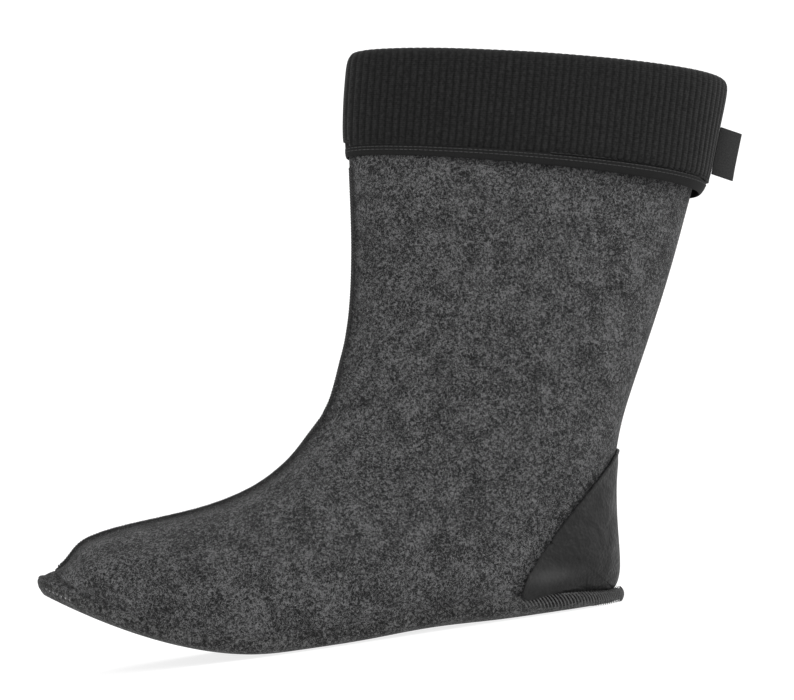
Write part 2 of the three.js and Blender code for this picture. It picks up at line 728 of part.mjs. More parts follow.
// The tab: a folded tape in the middle plane, standing out from the back of the cuff.
function makeTab() {
  const shell = new Shell();
  const half = tabThickness / 2;
  const section = [[0, half], [0.9, half], [1, half * 0.4]];
  const rows = Array.from({ length: tabRows + 1 }, (_, i) => {
    const drop = tabDrop + tabHeight * (1 - i / tabRows);
    const root = cuffGap + cuffThickness + seamGap;
    const side = section.map(([reach, y]) => outerPoint(drop, columns, root + tabReach * reach)
      .add(new THREE.Vector3(0, -y, 0)));
    return [...side, ...[...side].reverse().map(mirrored), side[0]];
  });
  shell.band(rows);
  const [bottom, top] = [rows[0], rows.at(-1)];
  shell.strip(bottom.slice(3, 6).reverse(), bottom.slice(0, 3));
  shell.strip(top.slice(0, 3), top.slice(3, 6).reverse());
  return shell.geometry();
}

// Materials
const paint = (color, roughness) => new THREE.MeshStandardMaterial({ color, roughness, metalness: 0 });
const feltGrey = paint(0x3c3c3d, 1);
const soleGrey = paint(0x38383a, 1);
const leatheretteBlack = paint(0x2a2a2b, 0.45);
const knitBlack = paint(0x161617, 0.95);
const tapeBlack = paint(0x1d1d1e, 0.8);

function piece(name, geometry, material) {
  const mesh = new THREE.Mesh(geometry, material);
  mesh.name = name;
  return mesh;
}

const liner = new THREE.Group();
liner.add(piece('upper', makeUpper(), feltGrey));
liner.add(piece('sole', makeSole(), soleGrey));
liner.add(piece('heel_patch', makeHeelPatch(), leatheretteBlack));
liner.add(piece('cuff', makeRing(cuffLoop), knitBlack));
liner.add(piece('cuff_binding', makeRing(bindingLoop), tapeBlack));
liner.add(piece('back_tab', makeTab(), tapeBlack));

export default liner;
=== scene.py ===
"""Looks of the felt boot liner: felt foot and shaft, leatherette heel, rib-knit cuff, tape and tab.
Everything is in metres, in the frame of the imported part."""

import math

import bmesh
import bpy
import numpy as np
from mathutils import Matrix, Vector
from mathutils.bvhtree import BVHTree


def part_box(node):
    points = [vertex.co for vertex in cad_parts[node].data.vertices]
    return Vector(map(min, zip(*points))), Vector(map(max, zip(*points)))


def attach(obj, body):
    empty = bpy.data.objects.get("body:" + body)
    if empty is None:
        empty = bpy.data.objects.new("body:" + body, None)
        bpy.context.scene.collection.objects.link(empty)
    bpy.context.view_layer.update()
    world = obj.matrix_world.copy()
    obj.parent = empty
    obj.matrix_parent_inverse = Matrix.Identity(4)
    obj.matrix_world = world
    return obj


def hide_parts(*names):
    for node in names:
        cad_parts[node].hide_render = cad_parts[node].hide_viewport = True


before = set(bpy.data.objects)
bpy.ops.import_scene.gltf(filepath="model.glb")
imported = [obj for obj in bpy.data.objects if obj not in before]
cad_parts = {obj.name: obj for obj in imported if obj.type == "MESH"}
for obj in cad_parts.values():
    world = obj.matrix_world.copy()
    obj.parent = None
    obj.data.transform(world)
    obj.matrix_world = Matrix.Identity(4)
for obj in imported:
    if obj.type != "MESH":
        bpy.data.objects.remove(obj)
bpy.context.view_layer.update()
MM = 0.001


# Felt upper.
# Charcoal needle felt with light and dark fibres, cut as two halves and sewn together along the
# front. Its surface is hairy, so short loose fibres lie on it in every direction.

upper_felt_dark = (0.005, 0.005, 0.0052, 1)
upper_felt_mid = (0.021, 0.021, 0.0214, 1)
upper_felt_light = (0.135, 0.135, 0.137, 1)
fibre_grey = (0.26, 0.26, 0.263, 1)
fibre_length = 2.6 * MM
fibre_width = 0.09 * MM
fibres_per_square_metre = 4.6e5
seam_shade = 0.25
hem_lap = 4 * MM
patch_corner_height = 19 * MM
patch_bow = 14 * MM


def copy_of_node(node, name, levels):
    """A smooth copy of a CAD node: its doubles merged, its triangles joined, then subdivided."""
    mesh = bpy.data.objects[node].data.copy()
    welder = bmesh.new()
    welder.from_mesh(mesh)
    bmesh.ops.remove_doubles(welder, verts=welder.verts, dist=2e-6)
    bmesh.ops.join_triangles(
        welder, faces=welder.faces, angle_face_threshold=0.8, angle_shape_threshold=1.2
    )
    welder.to_mesh(mesh)
    welder.free()
    mesh.materials.clear()
    piece = bpy.data.objects.new(name, mesh)
    bpy.context.scene.collection.objects.link(piece)
    if levels:
        finish = piece.modifiers.new("smooth", "SUBSURF")
        finish.levels = finish.render_levels = levels
        apply_modifiers(piece)
    mesh = piece.data
    mesh.shade_smooth()
    return piece


def apply_modifiers(piece):
    """Turns what the modifiers make into the piece's own plain mesh."""
    bpy.context.view_layer.update()
    shown = piece.evaluated_get(bpy.context.evaluated_depsgraph_get())
    mesh = bpy.data.meshes.new_from_object(shown)
    piece.modifiers.clear()
    piece.data = mesh


def new_material(name, roughness):
    material = bpy.data.materials.new(name)
    material.use_nodes = True
    shader = material.node_tree.nodes["Principled BSDF"]
    shader.inputs["Roughness"].default_value = roughness
    return material, material.node_tree, shader


def add(tree, kind, inputs=(), **settings):
    """A node with its settings, and with its inputs set to values or wired to sockets."""
    node = tree.nodes.new(kind)
    for key, value in settings.items():
        setattr(node, key, value)
    for key, value in dict(inputs).items():
        if isinstance(value, bpy.types.NodeSocket):
            tree.links.new(value, node.inputs[key])
        else:
            node.inputs[key].default_value = value
    return node


def ramp(tree, factor, stops):
    """A colour ramp over (place, colour) stops."""
    node = add(tree, "ShaderNodeValToRGB", {"Fac": factor})
    elements = node.color_ramp.elements
    while len(elements) < len(stops):
        elements.new(0.5)
    for element, (place, colour) in zip(elements, stops):
        element.position = place
        element.color = colour
    return node.outputs["Color"]


def grey(value):
    return (value, value, value, 1)


def felt_material(name, dark, mid, light):
    """Marled felt: soft dark patches, fine light fibres in every direction, a matt hairy face."""
    material, tree, shader = new_material(name, 0.96)
    place = add(tree, "ShaderNodeTexCoord").outputs["Object"]
    patches = add(tree, "ShaderNodeTexNoise", {"Vector": place, "Scale": 90, "Detail": 2,
                                               "Roughness": 0.5})
    clumps = add(tree, "ShaderNodeTexNoise", {"Vector": place, "Scale": 700, "Detail": 4,
                                              "Roughness": 0.6, "Distortion": 1.0})
    strands = add(tree, "ShaderNodeTexNoise", {"Vector": place, "Scale": 1500, "Detail": 3,
                                               "Roughness": 0.7, "Distortion": 2.0})
    coarse = add(tree, "ShaderNodeMix", {"Factor": 0.80, "A": patches.outputs["Fac"],
                                         "B": clumps.outputs["Fac"]})
    marl = add(tree, "ShaderNodeMix", {"Factor": 0.45, "A": coarse.outputs[0],
                                       "B": strands.outputs["Fac"]})
    colour = ramp(tree, marl.outputs[0], [(0.440, dark), (0.503, mid), (0.558, light)])
    # Painted shade: the felt colour is darkened, with a ragged edge, where the seam attribute is
    # high
    seam = add(tree, "ShaderNodeAttribute", attribute_name="seam")
    ragged = add(tree, "ShaderNodeMath", {0: marl.outputs[0], 1: 2.2, 2: -1.1},
                 operation="MULTIPLY_ADD")
    edge = add(tree, "ShaderNodeMath", {0: seam.outputs["Fac"], 1: ragged.outputs[0]},
               operation="ADD")
    shade = ramp(tree, edge.outputs[0], [(0.30, grey(1.0)), (0.72, grey(seam_shade))])
    shaded = add(tree, "ShaderNodeVectorMath", {0: colour, 1: shade}, operation="MULTIPLY")
    tree.links.new(shaded.outputs[0], shader.inputs["Base Color"])
    relief = add(tree, "ShaderNodeBump", {"Height": marl.outputs[0], "Strength": 0.8,
                                          "Distance": 1.0 * MM})
    tree.links.new(relief.outputs["Normal"], shader.inputs["Normal"])
    shader.inputs["Specular IOR Level"].default_value = 0.2
    shader.inputs["Sheen Weight"].default_value = 0.05
    shader.inputs["Sheen Roughness"].default_value = 0.6
    return material


# The middle of the foot and shaft, from the toe to the collar, for telling outside from inside
middle_line = [Vector(p) for p in ((-0.235, 0, 0.040), (-0.130, 0, 0.028), (-0.060, 0, 0.034),
                                   (-0.005, 0, 0.055), (0.000, 0, 0.110), (0.035, 0, 0.300))]


def from_middle(point):
    """The way out from the nearest point of the middle line."""
    best = None
    for start, end in zip(middle_line, middle_line[1:]):
        along = (point - start).dot(end - start) / (end - start).length_squared
        near = start.lerp(end, min(1, max(0, along)))
        if best is None or (point - near).length < best.length:
            best = point - near
    return best


# Places that other pieces cover: below the cuff's hem and under the patch's diagonal edge
tape_low, tape_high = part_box("cuff_binding")
patch_low, patch_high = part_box("heel_patch")


def is_covered(point):
    round_back = (point.x - tape_low.x) / (tape_high.x - tape_low.x)
    hem = tape_high.z + (tape_low.z - tape_high.z) * round_back
    over = (point.x - patch_low.x) / (patch_high.x - patch_low.x)
    straight = patch_corner_height + (patch_high.z - patch_corner_height) * over
    diagonal = straight + patch_bow * over * (1 - over)
    return point.z > hem - hem_lap or (over > 0 and point.z < diagonal + 1 * MM)


# Points near the front seam from the toe to the collar, as x, z and the way out in x and z
ridge_stations = [(-0.243, 0.034, -0.50, 0.87), (-0.228, 0.042, -0.28, 0.96),
                  (-0.200, 0.045, -0.08, 1.0), (-0.170, 0.045, -0.08, 1.0),
                  (-0.140, 0.050, -0.15, 0.99), (-0.120, 0.058, -0.35, 0.94),
                  (-0.100, 0.072, -0.60, 0.80), (-0.082, 0.090, -0.80, 0.60),
                  (-0.060, 0.120, -0.93, 0.36), (-0.040, 0.160, -0.99, 0.14),
                  (-0.030, 0.200, -1.0, 0.03), (-0.030, 0.252, -1.0, -0.05)]


def surface_of(piece):
    """The piece's faces, for finding where a ray meets them."""
    return BVHTree.FromPolygons([v.co for v in piece.data.vertices],
                                [p.vertices for p in piece.data.polygons])


def ridge_line(low, high, steps):
    """The front seam's crest, found by looking down on it from outside at each step."""
    crest = []
    for i in range(steps + 1):
        at = (low + (high - low) * i / steps) * (len(ridge_stations) - 1)
        k = min(int(at), len(ridge_stations) - 2)
        mixed = [a + (b - a) * (at - k) for a, b in zip(ridge_stations[k], ridge_stations[k + 1])]
        way = Vector((mixed[2], 0, mixed[3])).normalized()
        best = None
        for j in range(-10, 31):
            eye = Vector((mixed[0], j * 0.5 * MM, mixed[1])) + way * 0.15
            hit = upper_surface.ray_cast(eye, -way)[0]
            if hit and (best is None or hit.dot(way) > best.dot(way)):
                best = hit
        crest.append((best, way))
    return crest


def seam_nearness(piece, crest, reaches):
    """For each point of the piece, 1 on the seam's crest and 0 beyond the painted shade beside it.
    """
    skin = np.empty(len(piece.data.vertices) * 3)
    piece.data.vertices.foreach_get("co", skin)
    skin = skin.reshape(-1, 3)
    nearness = np.zeros(len(skin))
    for (place, _), reach in zip(crest, reaches):
        away = np.linalg.norm(skin - np.array(place), axis=1)
        nearness = np.maximum(nearness, 1 - away / reach)
    return nearness


# The painted shade beside the seam is wide over the toe and narrow up the shaft
crest_steps = 130
seam_shade_at = (0, 45, 80, crest_steps)
seam_shade_reach = (21 * MM, 18 * MM, 10 * MM, 8 * MM)

upper = copy_of_node("upper", "felt_upper", 2)
upper_surface = surface_of(upper)
front_crest = ridge_line(0.02, 0.985, crest_steps)
reaches = np.interp(np.arange(crest_steps + 1), seam_shade_at, seam_shade_reach)
# The seam attribute holds how much painted shade lies on the felt along the front seam's crest
seam = upper.data.attributes.new("seam", "FLOAT", "POINT")
seam.data.foreach_set("value", seam_nearness(upper, front_crest, reaches))
hairy = upper.data.attributes.new("hairy", "FLOAT", "POINT")
hairy.data.foreach_set("value", [
    float(v.normal.dot(from_middle(v.co)) > 0 and not is_covered(v.co)) for v in upper.data.vertices
])
upper.data.materials.append(
    felt_material("marled_felt", upper_felt_dark, upper_felt_mid, upper_felt_light)
)
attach(upper, "root")
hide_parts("upper")


def node_group(name, sizes):
    """An empty geometry tree with a geometry input and output and named size inputs."""
    tree = bpy.data.node_groups.new(name, "GeometryNodeTree")
    tree.interface.new_socket("Geometry", in_out="INPUT", socket_type="NodeSocketGeometry")
    tree.interface.new_socket("Geometry", in_out="OUTPUT", socket_type="NodeSocketGeometry")
    for size in sizes:
        tree.interface.new_socket(size, in_out="INPUT", socket_type="NodeSocketFloat")
    return tree, tree.nodes.new("NodeGroupInput"), tree.nodes.new("NodeGroupOutput")


def grown(source, name, tree, sizes):
    """The plain mesh that a geometry tree makes from a copy of the source, as a new piece."""
    piece = source.copy()
    piece.data = source.data.copy()
    piece.name = name
    piece.parent = None
    bpy.context.scene.collection.objects.link(piece)
    for key in [key for key in piece.keys() if key.startswith("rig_")]:
        del piece[key]
    grower = piece.modifiers.new("grow", "NODES")
    grower.node_group = tree
    for socket in tree.interface.items_tree:
        if socket.in_out == "INPUT" and socket.name in sizes:
            grower[socket.identifier] = sizes[socket.name]
    apply_modifiers(piece)
    return piece


def fibre_tree(material):
    """Loose fibres: thin strips that lie on the face in random directions, slightly raised."""
    tree, start, end = node_group("loose_fibres", ["Length", "Width", "Density"])
    wool = add(tree, "GeometryNodeInputNamedAttribute", {"Name": "hairy"}, data_type="FLOAT")
    amount = add(tree, "ShaderNodeMath", {0: wool.outputs[0], 1: start.outputs["Density"]},
                 operation="MULTIPLY")
    points = add(tree, "GeometryNodeDistributePointsOnFaces",
                 {"Mesh": start.outputs["Geometry"], "Density": amount.outputs[0], "Seed": 7})
    strip = add(tree, "GeometryNodeMeshGrid", {"Size X": start.outputs["Length"],
                                               "Size Y": start.outputs["Width"],
                                               "Vertices X": 3, "Vertices Y": 2})
    spin = add(tree, "FunctionNodeRandomValue", {"Seed": 11}, data_type="FLOAT_VECTOR")
    spin.inputs[0].default_value = (-0.12, -0.22, -math.pi)
    spin.inputs[1].default_value = (0.12, 0.22, math.pi)
    turn = add(tree, "FunctionNodeRotateRotation",
               {0: points.outputs["Rotation"], 1: spin.outputs[0]}, rotation_space="LOCAL")
    size = add(tree, "FunctionNodeRandomValue", {"Seed": 5}, data_type="FLOAT")
    size.inputs[2].default_value = 0.35
    size.inputs[3].default_value = 1.0
    placed = add(tree, "GeometryNodeInstanceOnPoints",
                 {"Points": points.outputs["Points"], "Instance": strip.outputs["Mesh"],
                  "Rotation": turn.outputs[0], "Scale": size.outputs[1]})
    lift = add(tree, "GeometryNodeTranslateInstances", {"Instances": placed.outputs[0]})
    lift.inputs["Translation"].default_value = (0, 0, 0.12 * MM)
    real = add(tree, "GeometryNodeRealizeInstances", {"Geometry": lift.outputs[0]})
    done = add(tree, "GeometryNodeSetMaterial", {"Geometry": real.outputs[0]})
    done.inputs["Material"].default_value = material
    tree.links.new(done.outputs[0], end.inputs[0])
    return tree


def fibre_material():
    material, tree, shader = new_material("loose_fibre", 0.7)
    place = add(tree, "ShaderNodeTexCoord").outputs["Object"]
    shade = add(tree, "ShaderNodeTexNoise", {"Vector": place, "Scale": 900, "Detail": 2})
    colour = ramp(tree, shade.outputs["Fac"], [(0.40, grey(0.02)), (0.62, fibre_grey)])
    tree.links.new(colour, shader.inputs["Base Color"])
    return material


fibres = grown(upper, "loose_fibres", fibre_tree(fibre_material()),
               {"Length": fibre_length, "Width": fibre_width,
                "Density": fibres_per_square_metre})
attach(fibres, "root")

# Felt sole.
# A sheet of the same felt, cut to the foot's outline and stitched to the upper's turned-out edge.

sole_felt_dark = grey(0.005)
sole_felt_mid = grey(0.021)
sole_felt_light = grey(0.12)
sole_swell = 0.9 * MM

sole = copy_of_node("sole", "felt_sole", 2)
# Its upper face swells up against the upper's edge, so that no gap shows between the two
rises = [sole_swell * max(0, v.normal.z) ** 0.5 for v in sole.data.vertices]
for v, rise in zip(sole.data.vertices, rises):
    v.co.z += rise
sole.data.materials.append(
    felt_material("sole_felt", sole_felt_dark, sole_felt_mid, sole_felt_light)
)
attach(sole, "root")
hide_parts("sole")

# Front seam.
# The two felt halves are overlocked together with dark thread, over the raised edge that runs
# from the toe to the cuff. The stitches show as a row on each side of the crest.

front_thread_grey = 0.013
front_stitch = {"Pitch": 1.5 * MM, "Length": 4.6 * MM, "Thread": 1.0 * MM}
front_stitch_slant = 0.35
stitch_rows_apart = 3.4 * MM


def thread_material(name, tone):
    """Twisted thread: a fine mottle around one grey."""
    material, tree, shader = new_material(name, 0.8)
    place = add(tree, "ShaderNodeTexCoord").outputs["Object"]
    twist = add(tree, "ShaderNodeTexNoise", {"Vector": place, "Scale": 1500, "Detail": 3})
    shade = ramp(tree, twist.outputs["Fac"],
                 [(0.35, grey(tone * 0.45)), (0.65, grey(tone * 1.5))])
    tree.links.new(shade, shader.inputs["Base Color"])
    relief = add(tree, "ShaderNodeBump", {"Height": twist.outputs["Fac"], "Strength": 0.6,
                                          "Distance": 0.2 * MM})
    tree.links.new(relief.outputs["Normal"], shader.inputs["Normal"])
    return material


def stitch_tree(material):
    """Stitches along a line of points: long beads laid across it, slanted, facing out.
    Bend pulls their ends in, so that they wrap round an edge."""
    tree, start, end = node_group("stitch_row", ["Pitch", "Length", "Thread", "Slant", "Bend"])
    line = add(tree, "GeometryNodeMeshToCurve", {"Mesh": start.outputs["Geometry"]})
    row = add(tree, "GeometryNodeResampleCurve",
              {"Curve": line.outputs[0], "Length": start.outputs["Pitch"]}, mode="LENGTH")
    bead = add(tree, "GeometryNodeMeshUVSphere", {"Segments": 6, "Rings": 9, "Radius": 0.5})
    poles_across = add(tree, "GeometryNodeTransform", {"Geometry": bead.outputs["Mesh"]})
    poles_across.inputs["Rotation"].default_value = (math.pi / 2, 0, 0)
    spot = add(tree, "GeometryNodeInputPosition")
    parts = add(tree, "ShaderNodeSeparateXYZ", {0: spot.outputs[0]})
    arch = add(tree, "ShaderNodeMath", {0: parts.outputs["Y"], 1: parts.outputs["Y"]},
               operation="MULTIPLY")
    relative = add(tree, "ShaderNodeMath",
                   {0: start.outputs["Length"], 1: start.outputs["Thread"]}, operation="DIVIDE")
    drop = add(tree, "ShaderNodeMath", {0: arch.outputs[0], 1: relative.outputs[0]},
               operation="MULTIPLY")
    bent = add(tree, "ShaderNodeMath", {0: drop.outputs[0], 1: start.outputs["Bend"]},
               operation="MULTIPLY")
    inward = add(tree, "ShaderNodeMath", {0: bent.outputs[0], 1: -2.4}, operation="MULTIPLY")
    shift = add(tree, "ShaderNodeCombineXYZ", {"Z": inward.outputs[0]})
    thread = add(tree, "GeometryNodeSetPosition", {"Geometry": poles_across.outputs[0],
                                                   "Offset": shift.outputs[0]})
    out = add(tree, "GeometryNodeInputNamedAttribute", {"Name": "out"}, data_type="FLOAT_VECTOR")
    along = add(tree, "GeometryNodeInputTangent")
    upright = add(tree, "FunctionNodeAlignRotationToVector", {"Vector": out.outputs[0]}, axis="Z")
    square = add(tree, "FunctionNodeAlignRotationToVector",
                 {"Rotation": upright.outputs[0], "Vector": along.outputs[0]}, axis="X",
                 pivot_axis="Z")
    slant = add(tree, "ShaderNodeCombineXYZ", {"Z": start.outputs["Slant"]})
    turn = add(tree, "FunctionNodeRotateRotation", {0: square.outputs[0], 1: slant.outputs[0]},
               rotation_space="LOCAL")
    size = add(tree, "ShaderNodeCombineXYZ", {"X": start.outputs["Thread"],
                                              "Y": start.outputs["Length"],
                                              "Z": start.outputs["Thread"]})
    placed = add(tree, "GeometryNodeInstanceOnPoints",
                 {"Points": row.outputs[0], "Instance": thread.outputs[0],
                  "Rotation": turn.outputs[0], "Scale": size.outputs[0]})
    real = add(tree, "GeometryNodeRealizeInstances", {"Geometry": placed.outputs[0]})
    smooth = add(tree, "GeometryNodeSetShadeSmooth", {"Geometry": real.outputs[0]})
    done = add(tree, "GeometryNodeSetMaterial", {"Geometry": smooth.outputs[0]})
    done.inputs["Material"].default_value = material
    tree.links.new(done.outputs[0], end.inputs[0])
    return tree


def stitch_row(name, line, material, sizes, closed=False):
    """line: (place, way out) pairs along the seam."""
    mesh = bpy.data.meshes.new(name)
    count = len(line)
    edges = [(i, i + 1) for i in range(count - 1)] + ([(count - 1, 0)] if closed else [])
    mesh.from_pydata([place for place, _ in line], edges, [])
    out = mesh.attributes.new("out", "FLOAT_VECTOR", "POINT")
    out.data.foreach_set("vector", [c for _, way in line for c in way])
    path = bpy.data.objects.new(name + "_path", mesh)
    bpy.context.scene.collection.objects.link(path)
    piece = grown(path, name, stitch_tree(material), sizes)
    bpy.data.objects.remove(path)
    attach(piece, "root")
    return piece


def flank_line(offset):
    """A line beside the crest, on the upper's face: the middle of the stitches on that side."""
    line = []
    for crest, way in front_crest:
        eye = crest + way * 0.05 + Vector((0, offset, 0))
        hit, normal, _, _ = upper_surface.ray_cast(eye, -way)
        if hit:
            line.append((hit, normal))
    return line


front_thread = thread_material("seam_thread", front_thread_grey)
for side, sign in (("outer", -1), ("inner", 1)):
    stitch_row("front_seam_%s" % side, flank_line(sign * stitch_rows_apart / 2), front_thread,
               {**front_stitch, "Slant": sign * front_stitch_slant})

# Pressed edge.
# The upper's turned-out edge and the sole are sewn and pressed into one rounded rim of felt. This
# band is that rim's outside, all round the foot, and hides the line between the two layers.

rim_steps = 480
band_rise = np.linspace(-3.4, 4.8, 15) * MM
band_rows = len(band_rise)
band_proud = 0.3 * MM
band_tuck = 1.6 * MM
deepest_inset = 7 * MM
rim_smoothing = 6
band_smoothing = 3
heel_stitches_from = -24 * MM
stitches_fade_over = 20 * MM
shade_under_stitches = 0.85

sole_surface = surface_of(sole)
sole_low, sole_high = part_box("sole")


def farthest_out(centre, way, lift, surfaces):
    """The outermost felt that is met from outside at one height, in the way's direction."""
    eye = Vector((centre.x, centre.y, lift)) + way * 0.2
    hits = [surface.ray_cast(eye, -way)[0] for surface in surfaces]
    hits = [hit for hit in hits if hit]
    return max(hits, key=lambda hit: hit.dot(way)) if hits else None


def rim_profile(step):
    """The rim at one step round the sole: its way out, its outermost point, and what is met
    at each height of the band."""
    turn = 2 * math.pi * step / rim_steps
    middle = (sole_low.x + sole_high.x) / 2
    half = (sole_high.x - sole_low.x) / 2
    centre = Vector((middle + half * 0.72 * math.cos(turn), 0, 0))
    way = Vector((math.cos(turn) ** 3, math.sin(turn), 0)).normalized()
    looks = [farthest_out(centre, way, lift * MM, [sole_surface])
             for lift in np.arange(0.5, 50, 0.5)]
    rim = max((hit for hit in looks if hit), key=lambda hit: hit.dot(way))
    felt = (sole_surface, upper_surface)
    return way, rim, [farthest_out(centre, way, rim.z + rise, felt) for rise in band_rise]


def smoothed(values):
    """Each value evened out with its two neighbours, round the closed rim."""
    return (np.roll(values, 1, 0) + values * 2 + np.roll(values, -1, 0)) / 4


rim_columns = [rim_profile(step) for step in range(rim_steps)]
rim_heights = np.array([rim.z for _, rim, _ in rim_columns])
for _ in range(rim_smoothing):
    rim_heights = smoothed(rim_heights)

band_depths = []
for way, rim, column in rim_columns:
    depths = np.array([hit.dot(way) if hit else np.nan for hit in column])
    known = ~np.isnan(depths)
    depths = np.interp(band_rise, band_rise[known], depths[known])
    band_depths.append(np.maximum(depths, rim.dot(way) - deepest_inset))
band_depths = np.array(band_depths)
for _ in range(band_smoothing):
    band_depths[:, 1:-1] = (band_depths[:, :-2] + band_depths[:, 1:-1] * 2
                            + band_depths[:, 2:]) / 4
    band_depths = smoothed(band_depths)
band_depths += band_proud
band_depths[:, [0, -1]] -= band_tuck

band_points = []
for (way, rim, _), depths, height in zip(rim_columns, band_depths, rim_heights):
    for depth, rise in zip(depths, band_rise):
        place = rim + way * (depth - rim.dot(way))
        place.z = height + rise
        band_points.append(place)


def ring_faces(steps, rows):
    """Faces between neighbouring columns of points, round a closed ring."""
    faces = []
    for step in range(steps):
        here, there = step * rows, (step + 1) % steps * rows
        faces += [(here + r, there + r, there + r + 1, here + r + 1) for r in range(rows - 1)]
    return faces


def new_piece(name, points, faces):
    """A smooth mesh from points and faces, as a new piece in the scene."""
    mesh = bpy.data.meshes.new(name)
    mesh.from_pydata(points, [], faces)
    mesh.shade_smooth()
    piece = bpy.data.objects.new(name, mesh)
    bpy.context.scene.collection.objects.link(piece)
    return piece


band = new_piece("pressed_edge", band_points, ring_faces(rim_steps, band_rows))
# Painted shade on the band round the heel, under the edge stitches, fading out towards the front
painted_heel_band_shade = [
    shade_under_stitches * min(1, max(0, (place.x - heel_stitches_from) / stitches_fade_over))
    for place in band_points
]
band.data.attributes.new("seam", "FLOAT", "POINT").data.foreach_set("value", painted_heel_band_shade)
band.data.materials.append(sole.data.materials[0])
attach(band, "root")

# Edge stitches.
# The rim is overlocked. Round the heel the marled thread shows as slanted dashes, and at the toe
# only a few pale ends of it come through the felt.

edge_thread_grey = 0.065
edge_stitch = {"Pitch": 1.9 * MM, "Length": 9.6 * MM, "Thread": 0.8 * MM, "Slant": 0.6,
               "Bend": 0.3}
edge_stitch_lift = 0.15 * MM
toe_thread_grey = 0.30
toe_stitch = {"Pitch": 2.6 * MM, "Length": 1.5 * MM, "Thread": 0.45 * MM, "Slant": 1.1}
toe_ends_between = (-254 * MM, -243 * MM)
toe_ends_drop = 1 * MM


def rim_line(chosen, rise):
    """Points on the pressed edge with their way out, at the steps that are chosen."""
    row = int(np.argmin(np.abs(band_rise - rise)))
    return [(band_points[step * band_rows + row], rim_columns[step][0]) for step in chosen]


round_heel = [step % rim_steps for step in range(-rim_steps // 2, rim_steps // 2)]
heel_line = rim_line([step for step in round_heel
                      if band_points[step * band_rows].x > heel_stitches_from], 0.1 * MM)
stitch_row("sole_edge_stitches", [(p + way * edge_stitch_lift, way) for p, way in heel_line],
           thread_material("edge_thread", edge_thread_grey), edge_stitch)

toe_steps = [step for step in range(rim_steps)
             if toe_ends_between[0] < band_points[step * band_rows].x < toe_ends_between[1]
             and band_points[step * band_rows].y < 0]
stitch_row("toe_thread_ends", rim_line(toe_steps, -toe_ends_drop),
           thread_material("toe_thread", toe_thread_grey), toe_stitch)

# Heel patch.
# Black fine-grained leatherette, sewn over the heel with its diagonal edges turned under. Low at
# the front a soft streak of painted highlight lies above its foot.

patch_darkest = grey(0.003)
patch_lightest = grey(0.006)
# How much the painted highlight streak low at the front lightens the leatherette
patch_painted_sheen = 0.026
patch_foot_height = 16 * MM
patch_front_width = 22 * MM
patch_foot_drop = 1.5 * MM
patch_corner_drop = 5.5 * MM
patch_corner_forward = 4.0 * MM
patch_tip_height = 9 * MM
patch_tip_in = 1.1 * MM
streak_place = Vector((14 * MM, 0, 11 * MM))
streak_length = 13 * MM
streak_height = 4 * MM


def leatherette_material():
    material, tree, shader = new_material("black_leatherette", 0.5)
    place = add(tree, "ShaderNodeTexCoord").outputs["Object"]
    grain = add(tree, "ShaderNodeTexVoronoi", {"Vector": place, "Scale": 560, "Randomness": 1.0})
    creases = add(tree, "ShaderNodeTexNoise", {"Vector": place, "Scale": 110, "Detail": 4,
                                               "Distortion": 0.8})
    tone = ramp(tree, creases.outputs["Fac"], [(0.35, patch_darkest), (0.65, patch_lightest)])
    # Painted highlight: a soft lighter streak is added to the tone low at the front of the patch
    painted_sheen = add(tree, "ShaderNodeAttribute", attribute_name="painted_sheen")
    tone_with_sheen = add(tree, "ShaderNodeVectorMath",
               {0: painted_sheen.outputs["Color"], 1: (patch_painted_sheen,) * 3, 2: tone},
               operation="MULTIPLY_ADD")
    tree.links.new(tone_with_sheen.outputs[0], shader.inputs["Base Color"])
    fine = add(tree, "ShaderNodeBump", {"Height": grain.outputs["Distance"], "Strength": 0.9,
                                        "Distance": 0.5 * MM})
    soft = add(tree, "ShaderNodeBump", {"Height": creases.outputs["Fac"], "Strength": 0.6,
                                        "Distance": 3 * MM, "Normal": fine.outputs["Normal"]})
    tree.links.new(soft.outputs["Normal"], shader.inputs["Normal"])
    shader.inputs["Specular IOR Level"].default_value = 0.3
    tree.links.new(ramp(tree, creases.outputs["Fac"], [(0.35, grey(0.62)), (0.7, grey(0.50))]),
                   shader.inputs["Roughness"])
    return material


def relax(piece, rounds):
    """Evens out a mesh, so that its rows don't show as ridges."""
    smoother = bmesh.new()
    smoother.from_mesh(piece.data)
    for _ in range(rounds):
        bmesh.ops.smooth_vert(smoother, verts=smoother.verts, factor=0.5, use_axis_x=True,
                              use_axis_y=True, use_axis_z=True)
    smoother.to_mesh(piece.data)
    smoother.free()


patch = copy_of_node("heel_patch", "leatherette_heel", 2)
relax(patch, 2)
for v in patch.data.vertices:
    foot = max(0, 1 - (v.co.z - patch_low.z) / patch_foot_height)
    toward_front = max(0, 1 - (v.co.x - patch_low.x) / patch_front_width)
    tip = max(0, 1 - (patch_high.z - v.co.z) / patch_tip_height)
    v.co.z -= foot * (patch_foot_drop + patch_corner_drop * toward_front)
    v.co.x -= foot * toward_front * patch_corner_forward + tip * patch_tip_in


def streak(place):
    """How much painted highlight lies on the leatherette at a place: 1 in the middle of the streak.
    """
    off = place - patch_low - streak_place
    return math.exp(-(off.x / streak_length) ** 2 - (off.z / streak_height) ** 2)


# How strongly the painted highlight streak lies on each point of the patch
painted_sheen = [streak(v.co) for v in patch.data.vertices]
patch.data.attributes.new("painted_sheen", "FLOAT", "POINT").data.foreach_set("value", painted_sheen)
patch.data.materials.append(leatherette_material())
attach(patch, "root")
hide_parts("heel_patch")

# Cuff.
# A band of near-black rib knit, folded over the felt's top edge and sewn down inside. Its ribs
# run from the hem up over the fold.

